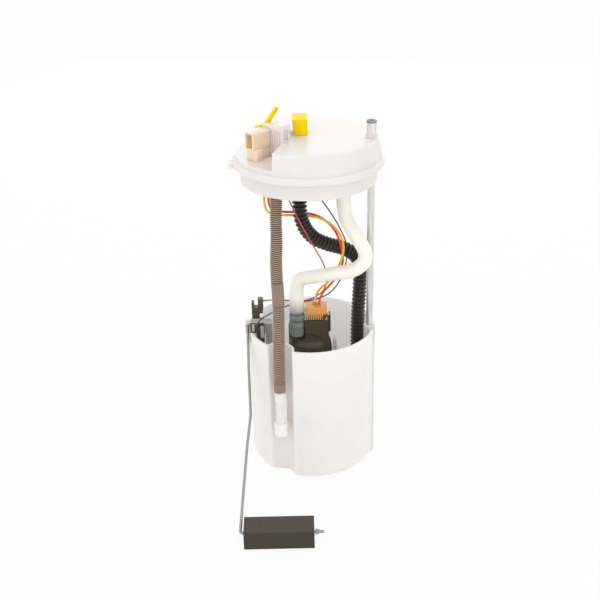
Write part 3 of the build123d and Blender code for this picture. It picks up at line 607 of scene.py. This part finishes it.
# ---- stage ----
# Name, place and size of each lamp, in metres.
LAMPS = (
    ("key", (-0.9, -1.3, 0.9), 1.3),
    ("fill", (1.1, -1.2, 0.5), 1.3),
    ("top", (0.0, 0.3, 1.9), 1.5),
    ("back", (0.1, 1.5, 0.6), 1.3),
)
AIM = Vector((0, 0, 0.17))  # the point that the lamps face
FLOOR_SIZE = 8
FLOOR_DROP = 0.6 * MM  # how far the floor lies under the part's foot
FLOOR_WHITE = 0.9  # share of plain white in the floor as it is seen, the rest takes the shadow
CAMERA_PLACE = (-0.0100, -0.8309, 0.5671)
CAMERA_LENS = 60.65
CAMERA_SENSOR = 36.0
CAMERA_PITCH = 26.1
CAMERA_ROLL = -1.246


def camera_turn():
    """Looks along +Y, tipped down by the pitch, then rolled about the line of sight."""
    tip = Matrix.Rotation(math.radians(90 - CAMERA_PITCH), 3, "X")
    return tip @ Matrix.Rotation(math.radians(CAMERA_ROLL), 3, "Z")


def seen_or_mirrored(graph):
    """1 for what the camera sees straight, and in gloss or glass."""
    rays = add_node(graph, "ShaderNodeLightPath")
    total = None
    for ray in ("Is Camera Ray", "Is Glossy Ray", "Is Transmission Ray"):
        if total is None:
            total = rays.outputs[ray]
            continue
        either = add_node(graph, "ShaderNodeMath", operation="MAXIMUM")
        graph.links.new(total, either.inputs[0])
        graph.links.new(rays.outputs[ray], either.inputs[1])
        total = either.outputs[0]
    return total


def pale_floor():
    """A pale floor that reads as white and keeps a soft shadow."""
    material, graph, shader = new_material("floor_paper")
    grain = noise(graph, object_position(graph), 30)
    paper = tints(graph, grain, (0.3, (0.88, 0.88, 0.88)), (0.7, (0.91, 0.91, 0.91)))
    graph.links.new(paper, shader.inputs["Base Color"])
    shader.inputs["Roughness"].default_value = 0.8
    white = add_node(graph, "ShaderNodeEmission", Strength=1.0)
    mix = add_node(graph, "ShaderNodeMixShader")
    share = add_node(graph, "ShaderNodeMath", operation="MULTIPLY")
    share.inputs[1].default_value = FLOOR_WHITE
    graph.links.new(seen_or_mirrored(graph), share.inputs[0])
    graph.links.new(share.outputs[0], mix.inputs[0])
    graph.links.new(shader.outputs[0], mix.inputs[1])
    graph.links.new(white.outputs[0], mix.inputs[2])
    graph.links.new(mix.outputs[0], graph.nodes["Material Output"].inputs["Surface"])
    return material


def paint_world(graph, strength):
    """An even light, seen as white."""
    sky = graph.nodes["Background"]
    sky.inputs["Color"].default_value = (1, 1, 1, 1)
    sky.inputs["Strength"].default_value = strength
    white = add_node(graph, "ShaderNodeBackground", Strength=1.0)
    white.inputs["Color"].default_value = (1, 1, 1, 1)
    mix = add_node(graph, "ShaderNodeMixShader")
    graph.links.new(seen_or_mirrored(graph), mix.inputs[0])
    graph.links.new(sky.outputs[0], mix.inputs[1])
    graph.links.new(white.outputs[0], mix.inputs[2])
    graph.links.new(mix.outputs[0], graph.nodes["World Output"].inputs["Surface"])


class PUMPMODULE_OT_stage(Operator):
    """Floor, backdrop, lamps and camera"""

    bl_idname = "pump_module.stage"
    bl_label = "Stage"

    def execute(self, context):
        scene = context.scene
        studio = scene.pump_module_studio
        scene.view_settings.view_transform = "Standard"
        floor = start("plane", "floor", size=FLOOR_SIZE, location=(0, 0, -FLOOR_DROP))
        floor.data.materials.append(pale_floor())
        world = bpy.data.worlds.new("studio")
        scene.world = world
        world.use_nodes = True
        paint_world(world.node_tree, studio.sky)
        for name, place, size in LAMPS:
            bpy.ops.object.light_add(type="AREA", location=place)
            lamp = context.object
            lamp.name = f"{name}_lamp"
            lamp.data.size = size
            lamp.data.energy = getattr(studio, name)
            lamp.visible_camera = False
            lamp.rotation_euler = (AIM - lamp.location).to_track_quat("-Z", "Y").to_euler()
        bpy.ops.object.camera_add(location=CAMERA_PLACE)
        camera = context.object
        camera.data.sensor_width = CAMERA_SENSOR
        camera.data.lens = CAMERA_LENS
        camera.rotation_euler = camera_turn().to_euler()
        scene.camera = camera
        return {"FINISHED"}


# ---- hoses and wires ----
RETURN_PLAIN = (0.432, 0.548)  # the return tube has no ribs between these shares of its length
# PLAIN_SHADE also sets the painted groove shade of the plain stretches.
PLAIN_SHADE = 0.5  # how deep a plain stretch looks: a crest is 0, a groove 1
RIB_SHARPNESS = 1.8  # narrows the black hose's ribs, 1 is a plain wave


def wave(distance, pitch):
    """Runs from 1 to 0 and back in each pitch."""
    return 0.5 + 0.5 * math.cos(2 * math.pi * distance / pitch)


class PUMPMODULE_OT_return_tube(Operator):
    """Brown corrugated return tube, plain in the middle and at its lower end"""

    bl_idname = "pump_module.return_tube"
    bl_label = "Return Tube"

    def execute(self, context):
        sizes = context.scene.pump_module_hoses
        brown = context.scene.pump_module_colours.brown

        def radius_at(distance, reach):
            plain_from, plain_to = (share * reach for share in RETURN_PLAIN)
            if plain_from < distance < plain_to or distance > reach - sizes.return_cuff:
                return sizes.return_radius, PLAIN_SHADE
            groove = wave(distance, sizes.return_pitch)
            return sizes.return_radius - sizes.return_depth * groove, groove

        piece, line, reach = hose("return_tube_ribbed", RETURN_ROUTE, 1000, 30, radius_at)
        # Painted shade: the grooves keep 0.06 of the crest's tint.
        nylon = ribbed_plastic("return_tube_nylon", brown, 0.06, (0.34, 0.5))
        hang(piece, "return_tube", nylon)
        return {"FINISHED"}


class PUMPMODULE_OT_black_hose(Operator):
    """Black hose with sharp ribs, from the flange down behind the pump"""

    bl_idname = "pump_module.black_hose"
    bl_label = "Black Hose"

    def execute(self, context):
        sizes = context.scene.pump_module_hoses
        black = context.scene.pump_module_colours.black

        def radius_at(distance, _):
            groove = 1 - wave(distance, sizes.black_pitch) ** RIB_SHARPNESS
            return sizes.black_radius - sizes.black_depth * groove, groove

        piece, line, reach = hose("black_hose_ribbed", BLACK_ROUTE, 900, 30, radius_at)
        # Painted shade: the grooves keep 0.55 of the crest's tint.
        nylon = ribbed_plastic("black_nylon_tube", black, 0.55, (0.38, 0.5))
        hang(piece, "black_hose", nylon)
        return {"FINISHED"}


SWELL_RUN = 11 * MM  # half of the stretch over which the feed hose widens
END_ROUND = 2 * MM
END_TUCK = 0.5 * MM
# The grooves also set the painted shade between the teeth.
NIPPLE_GROOVES = (0.45, 0.85, 1.0)  # depth of each groove between the teeth, from the end upwards
FIRST_GROOVE = 8.6 * MM  # from the hose's end
GROOVE_HALF = 1.3 * MM
GROOVE_SHARE = 0.65  # how much of the swell the deepest groove takes back


def nipple_through_hose(name, plain, nipple):
    """Milky hose whose end shows the nipple's blue-grey through it, darkest between the teeth with painted
    shade.
    """
    material, graph, shader = new_material(name)
    place = object_position(graph)
    depth = add_node(graph, "ShaderNodeAttribute", attribute_name="groove")
    cloud = noise(graph, place, 70)
    mixed = scaled_sum(graph, cloud, 0.10, depth.outputs["Fac"])
    # shown is the nipple seen through the hose; deep is painted shade between the teeth.
    shown, deep = toned(nipple, 1.15), toned(nipple, 0.62)
    stops = (0.05, plain), (0.15, toned(plain, 0.97)), (0.55, shown), (1.0, deep)
    graph.links.new(tints(graph, mixed, *stops), shader.inputs["Base Color"])
    graph.links.new(spread(graph, cloud, 0.26, 0.38), shader.inputs["Roughness"])
    bump(graph, shader, noise(graph, place, 900, 2), SMOOTH)
    set_sockets(shader, Subsurface_Weight=0.8, Subsurface_Scale=0.005, Subsurface_Radius=(1.0, 0.9, 0.8))
    return material


class PUMPMODULE_OT_feed_hose(Operator):
    """Milky feed hose, swollen where it is pushed over the pump's toothed nipple"""

    bl_idname = "pump_module.feed_hose"
    bl_label = "Feed Hose"

    def execute(self, context):
        sizes = context.scene.pump_module_hoses
        colours = context.scene.pump_module_colours

        def radius_at(distance, reach):
            left = reach - distance
            if left > sizes.feed_cuff + SWELL_RUN:
                return sizes.feed_radius, 0.0
            rise = min(1.0, (sizes.feed_cuff + SWELL_RUN - left) / (2 * SWELL_RUN))
            groove = 0.0
            for k, share in enumerate(NIPPLE_GROOVES):
                off = (left - FIRST_GROOVE - k * sizes.feed_pitch) / GROOVE_HALF
                groove += share * math.exp(-off * off)
            radius = sizes.feed_radius + sizes.feed_swell * (rise - GROOVE_SHARE * groove)
            if left < END_ROUND:
                radius -= END_TUCK * (1 - left / END_ROUND)
            # Colour mix: the nipple showing through as the hose swells, plus painted shade in the grooves
            # between the teeth.
            return radius, 0.55 * rise + 0.45 * groove

        piece, line, reach = hose("feed_hose_soft", FEED_ROUTE, 460, 40, radius_at)
        nylon = nipple_through_hose("feed_hose_nylon", colours.cream, colours.nipple)
        hang(piece, "feed_hose", nylon)
        return {"FINISHED"}


POWER_WIRE_THICK = 2.1 * MM
THIN_WIRE_THICK = 1.2 * MM


class PUMPMODULE_OT_wires(Operator):
    """Two power wires to the pump and two thin wires to the level sender"""

    bl_idname = "pump_module.wires"
    bl_label = "Wires"

    def execute(self, context):
        colours = context.scene.pump_module_colours
        wires = (
            ("yellow_wire", "yellow_wire", YELLOW_ROUTE, POWER_WIRE_THICK, colours.yellow_wire),
            ("red_wire", "red_wire", RED_ROUTE, POWER_WIRE_THICK, colours.red_wire),
            ("thin_red_wire", "magenta_wire", THIN_RED_ROUTE, THIN_WIRE_THICK, colours.thin_red),
            ("thin_dark_wire", "grey_wire", THIN_DARK_ROUTE, THIN_WIRE_THICK, colours.thin_dark),
        )
        for node, slot, route, thick, tint in wires:
            name = f"{node}_insulation"
            piece, line, reach = hose(name, route, 260, 12, lambda *_, half=thick / 2: (half, 0.0))
            insulation = moulding(name, tint, (0.26, 0.38), SMOOTH)
            hang(piece, node, insulation)
        return {"FINISHED"}


# ---- small pieces: sizes in millimetres, a box as its limits along x, y and z ----
ROD_AXIS = (52.917, -10.766)  # of the right guide rod
RING_LOW, RING_HIGH = 328.6, 330.6
RING_RADIUS = 4.3
RING_LIP = 1.0
RING_HOLLOW = 1.2


class PUMPMODULE_OT_rod_end(Operator):
    """Rolled ring round the open end of the guide rod, toned dark as painted shade of the open end"""

    bl_idname = "pump_module.rod_end"
    bl_label = "Rod End"

    def execute(self, context):
        ring = start(
            "cylinder", "rod_end_ring", vertices=48, radius=RING_RADIUS * MM,
            depth=(RING_HIGH - RING_LOW) * MM, location=at(*ROD_AXIS, (RING_LOW + RING_HIGH) / 2),
        )
        pick(ring, upward)
        bpy.ops.mesh.inset(thickness=RING_LIP * MM)
        pull(0, 0, -RING_HOLLOW)
        round_edges(ring, 0.3)
        # The ring's dark tone is painted shade of the rod's open end.
        settle(ring, "flange", drawn_metal("rolled_steel", (0.36, 0.35, 0.35), "Z", (0.35, 0.5)))
        return {"FINISHED"}


COLLAR_FOOT, COLLAR_TOP = 2.1, 1.5
COLLAR_HEIGHT = 1.8


class PUMPMODULE_OT_wire_collars(Operator):
    """Tapered collars where the power wires enter the plug"""

    bl_idname = "pump_module.wire_collars"
    bl_label = "Wire Collars"

    def execute(self, context):
        x, y, plug_top = YELLOW_ROUTE[-1]
        red_x, red_y, _ = RED_ROUTE[-1]
        collar = start(
            "cone", "wire_collar_left", vertices=32, radius1=COLLAR_FOOT * MM, radius2=COLLAR_TOP * MM,
            depth=COLLAR_HEIGHT * MM, location=at(x, y, plug_top + COLLAR_HEIGHT / 2),
        )
        pick(collar, upward)
        bpy.ops.mesh.inset(thickness=0.3 * MM)
        pull(0, 0, -0.5)
        round_edges(collar, 0.15, 2)
        tint = toned(context.scene.pump_module_colours.orange, 0.8)
        settle(collar, "reservoir", moulding("collar_plastic", tint, (0.4, 0.5), FINE))
        twin(collar, "wire_collar_right", (red_x - x, red_y - y, 0), "reservoir")
        return {"FINISHED"}


CLIP = (-47.0, -42.8), (-9.8, -3.6), (147.6, 152.0)
CLIP_NOSE = 0.9
CLIP_CATCH = 0.8


class PUMPMODULE_OT_sender_clip(Operator):
    """White snap hook in the neck of the level sender"""

    bl_idname = "pump_module.sender_clip"
    bl_label = "Sender Clip"

    def execute(self, context):
        hook = slab("sender_clip", *CLIP)
        pick(hook, forward)
        bpy.ops.mesh.inset(thickness=0.8 * MM)
        pull(0, -CLIP_NOSE, 0)
        pick(hook, rightward(1.5))
        bpy.ops.mesh.inset(thickness=0.9 * MM)
        pull(CLIP_CATCH, 0, 0)
        round_edges(hook, 0.5)
        pale = context.scene.pump_module_colours.pot
        settle(hook, "reservoir", moulding("clip_plastic", pale, (0.35, 0.45), FINE))
        return {"FINISHED"}


# Plates on the front of the sender: limits along x, y and z, border, how far the middle is set in, slot.
SENDER_PLATES = (
    ("sender_bar", (-55.5, -36.2), (-11.4, -10.3), (143.0, 147.2), 0.8, 0.5, "grey_plastic"),
    ("sender_cheek", (-54.2, -50.6), (-10.8, -10.05), (114.0, 143.4), 0.6, 0.25, "grey_plastic"),
    ("sender_frame", (-55.8, -50.8), (-11.5, -10.6), (133.0, 143.2), 1.25, 0.5, "black_plastic"),
    ("sender_window", (-54.4, -52.2), (-11.35, -10.9), (134.4, 141.8), 0.3, -0.15, "grey_plastic"),
    ("sender_strip", (-46.8, -43.7), (-10.9, -10.05), (127.4, 139.6), 0.5, 0.3, "grey_plastic"),
)


class PUMPMODULE_OT_sender_trim(Operator):
    """Grey bar, cheek, window and strip and a dark window frame on the front of the level sender"""

    bl_idname = "pump_module.sender_trim"
    bl_label = "Sender Trim"

    def execute(self, context):
        colours = context.scene.pump_module_colours
        grey = toned(colours.bracket, 0.72)
        materials = {
            "grey_plastic": moulding("sender_trim_grey", grey, (0.3, 0.42), MEDIUM, 0.85),
            "black_plastic": moulding("sender_trim_dark", colours.dark, (0.35, 0.5), MEDIUM, 0.7),
        }
        for name, x, y, z, border, set_in, slot in SENDER_PLATES:
            plate = slab(name, x, y, z)
            pick(plate, forward)
            bpy.ops.mesh.inset(thickness=border * MM)
            pull(0, set_in, 0)
            round_edges(plate, 0.2, 2)
            settle(plate, "reservoir", materials[slot])
        return {"FINISHED"}


# Dark plate behind the ribs: painted shade in the gaps between them.
SHADE_PLATE = (-4.6, 12.6), (-12.5, -11.9), (144.9, 151.0)
SHADE_PLATE_TAPER = 0.94
RIB = (-4.2, -2.9), (-13.1, -12.3), (145.9, 152.4)
RIB_LEAN = 0.5
RIB_TAPER = 0.7
RIB_COUNT = 8
RIB_STEP = 1.95
# The latch takes the dark tone as painted shade of the notch at the plug's right.
LATCH = (10.0, 11.6), (-13.3, -12.0), (146.6, 149.3)
LATCH_RUN = 1.6
LATCH_RISES = (1.4, 2.0)


class PUMPMODULE_OT_plug_trim(Operator):
    """Grip ribs on the plug's front, a dark plate behind them, and the latch. The ribs are a shade paler
    than the plug as painted light; the plate's dark tone paints the shade between the ribs, and the
    latch's dark tone paints the shade of its notch.
    """

    bl_idname = "pump_module.plug_trim"
    bl_label = "Plug Trim"

    def execute(self, context):
        colours = context.scene.pump_module_colours
        # The dark finish paints shade on the plate and latch; the ribs' paler finish is painted light.
        dark = moulding("plug_trim_dark", colours.dark, (0.35, 0.5), MEDIUM, 0.7)
        pale = moulding("plug_rib_plastic", toned(colours.orange, 1.05), (0.35, 0.45), FINE, 0.9)
        shade_plate = slab("plug_lip", *SHADE_PLATE)
        pick(shade_plate, upward)
        bpy.ops.transform.resize(value=(SHADE_PLATE_TAPER, 1, 1))
        bpy.ops.mesh.inset(thickness=0.12 * MM)
        pull(0, 0, 0.2)
        round_edges(shade_plate, 0.15, 2)
        settle(shade_plate, "reservoir", dark)
        rib = slab("plug_rib", *RIB)
        pick(rib, upward)
        bpy.ops.transform.translate(value=(0, RIB_LEAN * MM, 0))
        pick(rib, downward)
        bpy.ops.transform.resize(value=(RIB_TAPER, 1, 1))
        round_edges(rib, 0.2, 2)
        settle(rib, "reservoir", pale)
        for k in range(1, RIB_COUNT):
            twin(rib, f"plug_rib_{k}", (k * RIB_STEP, 0, 0), "reservoir")
        latch = slab("plug_latch", *LATCH)
        for rise in LATCH_RISES:
            pick(latch, rightward(0.6))
            pull(LATCH_RUN, 0, rise)
        round_edges(latch, 0.25, 2)
        settle(latch, "reservoir", dark)
        return {"FINISHED"}


SEAM = (-6.4, -1.4), (-14.6, -13.2), (131.2, 132.3)
SEAM_STEPS = ((5.0, -0.25, -1.6), (5.0, -0.25, -2.4))


class PUMPMODULE_OT_head_seam(Operator):
    """Slanting moulded ridge across the front of the pump head's tower, toned darker than the head as
    painted shade of the fold there
    """

    bl_idname = "pump_module.head_seam"
    bl_label = "Head Seam"

    def execute(self, context):
        # Painted shade: the ridge is toned to 0.4 of the head's colour for the shade in the fold.
        tint = toned(context.scene.pump_module_colours.dark, 0.4)
        ridge = slab("head_seam", *SEAM)
        for step in SEAM_STEPS:
            pick(ridge, rightward(2))
            pull(*step)
        bpy.ops.transform.resize(value=(1, 1, 0.5))
        round_edges(ridge, 0.25, 2)
        dark = moulding("head_seam_dark", tint, (0.4, 0.55), MEDIUM, 0.7)
        settle(ridge, "reservoir", dark)
        return {"FINISHED"}


SPRING_WELD = 0.01


class PUMPMODULE_OT_springs(Operator):
    """Steel springs under the guide rods, copied from the part's springs with their doubled points merged
    """

    bl_idname = "pump_module.springs"
    bl_label = "Springs"

    def execute(self, context):
        steel = drawn_metal("spring_steel", (0.62, 0.63, 0.62), "Z", (0.25, 0.4))
        for name in ("spring_right", "spring_left"):
            mesh = nodes[name].data.copy()
            mesh.materials.clear()
            mesh.materials.append(steel)
            coil = bpy.data.objects.new(f"{name}_coil", mesh)
            context.scene.collection.objects.link(coil)
            bpy.ops.object.select_all(action="DESELECT")
            coil.select_set(True)
            context.view_layer.objects.active = coil
            bpy.ops.object.mode_set(mode="EDIT")
            bpy.ops.mesh.select_all(action="SELECT")
            bpy.ops.mesh.remove_doubles(threshold=SPRING_WELD * MM)
            bpy.ops.object.mode_set(mode="OBJECT")
            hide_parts(name)
            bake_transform(coil)
        return {"FINISHED"}


# Barrels on the ends of the sender's wires: name, place and which way the barrel is turned from upright.
CRIMPS = (
    ("crimp_upper", (-42.2, -6.2, 163.4), (0, math.radians(90), 0)),
    ("crimp_lower", (-50.2, -11.5, 142.4), (math.radians(90), 0, 0)),
)
CRIMP_RADIUS = 0.95
CRIMP_LENGTH = 3.0
CRIMP_DENT = 0.25


def dented_side(_, normal):
    return abs(normal.z) < 0.5 and normal.x > 0.7


class PUMPMODULE_OT_wire_crimps(Operator):
    """Crimped brass barrels on the ends of the sender's wires"""

    bl_idname = "pump_module.wire_crimps"
    bl_label = "Wire Crimps"

    def execute(self, context):
        brass = drawn_metal("crimp_brass", (0.62, 0.46, 0.22), "X")
        for name, place, turn in CRIMPS:
            barrel = start(
                "cylinder", name, vertices=24, radius=CRIMP_RADIUS * MM, depth=CRIMP_LENGTH * MM,
                rotation=turn, location=at(*place),
            )
            pick(barrel, dented_side)
            bpy.ops.mesh.inset(thickness=CRIMP_DENT * MM)
            pull(-CRIMP_DENT, 0, 0)
            round_edges(barrel, 0.12, 2)
            settle(barrel, "reservoir", brass)
        return {"FINISHED"}


# ---- finishes ----
def natural_plastic(name, tint):
    """Uncoloured plastic that lets light through its wall."""
    return moulding(
        name, tint, (0.30, 0.42), FINE, 0.97,
        Subsurface_Weight=0.6, Subsurface_Scale=0.006, Subsurface_Radius=(1.0, 1.0, 1.0),
    )


BACK_BLEND = 20 * MM  # the pot's wall changes this far to either side of its middle


def painted_light_at_the_back(material):
    """Paints light into the half of the pot's wall that lies behind the pump: that half of the same
    plastic lets more light through than the front half, so the inside of the pot reads brighter.
    """
    graph = material.node_tree
    sockets = graph.nodes["Principled BSDF"].inputs
    way = add_node(graph, "ShaderNodeSeparateXYZ")
    graph.links.new(object_position(graph), way.inputs[0])
    for name, front, back in (("Subsurface Weight", 0.55, 1.0), ("Subsurface Scale", 0.006, 0.010)):
        level = add_node(graph, "ShaderNodeMapRange", From_Min=-BACK_BLEND, From_Max=BACK_BLEND)
        level.inputs["To Min"].default_value = front
        level.inputs["To Max"].default_value = back
        graph.links.new(way.outputs["Y"], level.inputs["Value"])
        graph.links.new(level.outputs["Result"], sockets[name])


class PUMPMODULE_OT_finishes(Operator):
    """Finishes of the moulded and metal parts"""

    bl_idname = "pump_module.finishes"
    bl_label = "Finishes"

    def execute(self, context):
        colours = context.scene.pump_module_colours
        pot_pom = natural_plastic("pot_plastic", colours.pot)
        # Painted light: the back half of the pot's wall passes more light than the front half.
        painted_light_at_the_back(pot_pom)
        flange_pom = natural_plastic("flange_plastic", colours.flange)
        beige = moulding("beige_nylon", (0.78, 0.74, 0.68), (0.35, 0.5), FINE, 0.9)
        peach = moulding(
            "peach_plastic", colours.peach, (0.3, 0.42), FINE, 0.9,
            Subsurface_Weight=0.7, Subsurface_Scale=0.004, Subsurface_Radius=(1.0, 0.85, 0.7),
        )
        orange = moulding("orange_plug", colours.orange, (0.32, 0.45), MEDIUM, 0.85)
        yellow = moulding(
            "yellow_plastic", colours.yellow, (0.4, 0.5), FINE, 0.9, Specular_IOR_Level=0.15
        )
        dark = moulding("dark_nylon", colours.dark, (0.30, 0.46), COARSE, 0.65)
        grey = moulding(
            "grey_bracket", colours.bracket, (0.3, 0.42), MEDIUM, 0.85,
            Subsurface_Weight=0.8, Subsurface_Scale=0.005, Subsurface_Radius=(1.0, 1.0, 1.0),
        )
        rubber = moulding("dark_rubber", (0.035, 0.035, 0.035), (0.55, 0.7), COARSE, 0.6)
        magnet = moulding("ferrite", (0.09, 0.09, 0.095), (0.6, 0.8), GRITTY, 0.7)
        steel = drawn_metal("drawn_steel", (0.80, 0.82, 0.79), "Z")
        pale_steel = drawn_metal("plated_ferrule", (0.93, 0.87, 0.87), "Z", (0.38, 0.5))
        wire_steel = drawn_metal("wire_steel", (0.42, 0.42, 0.40), "Y")
        brass = drawn_metal("brass", (0.80, 0.60, 0.28), "X")
        copper = drawn_metal("copper", (0.80, 0.42, 0.26), "Z")
        chosen = (
            (pot_pom, "reservoir", "jet_pump", "outlet_barb", "rod_bush_right", "rod_bush_left"),
            (flange_pom, "flange"),
            (beige, "pump_holder", "pump_inlet", "turbine_plate", "wire_block", "resistor_card"),
            (peach, "electrical_socket"),
            (orange, "pump_plug"),
            (yellow, "outlet_cap", "lock_lever"),
            (dark, "pump_head", "sender_housing", "impeller", "brush_holder"),
            (magnet, "magnets", "armature", "brushes"),
            (grey, "sender_bracket", "wiper_hub"),
            (rubber, "pump_damper", "foot_valve", "check_valve"),
            (woven_cloth("filter_cloth", (0.74, 0.70, 0.60)), "strainer"),
            (steel, "guide_rod_right", "guide_rod_left", "rod_circlips", "lever_pin"),
            (steel, "pump_case", "rotor_shaft"),
            (pale_steel, "rod_ferrule"),
            (wire_steel, "float_arm", "float_clip"),
            (brass, "socket_terminals", "wiper"),
            (copper, "commutator"),
            (closed_foam("float_foam", colours.foam, colours.foam_sides_and_shade), "float"),
        )
        for material, *names in chosen:
            for name in names:
                mesh = nodes[name].data
                mesh.materials.clear()
                mesh.materials.append(material)
        return {"FINISHED"}


GROUPS = (
    ("pump_module_hoses", PumpModuleHoses),
    ("pump_module_colours", PumpModuleColours),
    ("pump_module_studio", PumpModuleStudio),
)
STEPS = (
    PUMPMODULE_OT_stage,
    PUMPMODULE_OT_return_tube,
    PUMPMODULE_OT_black_hose,
    PUMPMODULE_OT_feed_hose,
    PUMPMODULE_OT_wires,
    PUMPMODULE_OT_rod_end,
    PUMPMODULE_OT_wire_collars,
    PUMPMODULE_OT_sender_clip,
    PUMPMODULE_OT_sender_trim,
    PUMPMODULE_OT_plug_trim,
    PUMPMODULE_OT_head_seam,
    PUMPMODULE_OT_springs,
    PUMPMODULE_OT_wire_crimps,
    PUMPMODULE_OT_finishes,
)


class PUMPMODULE_PT_steps(Panel):
    """Lists the steps that build the module"""

    bl_label = "Pump Module"
    bl_space_type = "VIEW_3D"
    bl_region_type = "UI"
    bl_category = "Pump Module"

    def draw(self, context):
        for step in STEPS:
            self.layout.operator(step.bl_idname)


def register():
    for name, group in GROUPS:
        bpy.utils.register_class(group)
        setattr(bpy.types.Scene, name, PointerProperty(type=group))
    for cls in (*STEPS, PUMPMODULE_PT_steps):
        bpy.utils.register_class(cls)


def unregister():
    for cls in reversed((*STEPS, PUMPMODULE_PT_steps)):
        bpy.utils.unregister_class(cls)
    for name, group in reversed(GROUPS):
        delattr(bpy.types.Scene, name)
        bpy.utils.unregister_class(group)


def main():
    register()
    for step in STEPS:
        group, name = step.bl_idname.split(".")
        getattr(getattr(bpy.ops, group), name)()


if __name__ == "__main__":
    main()
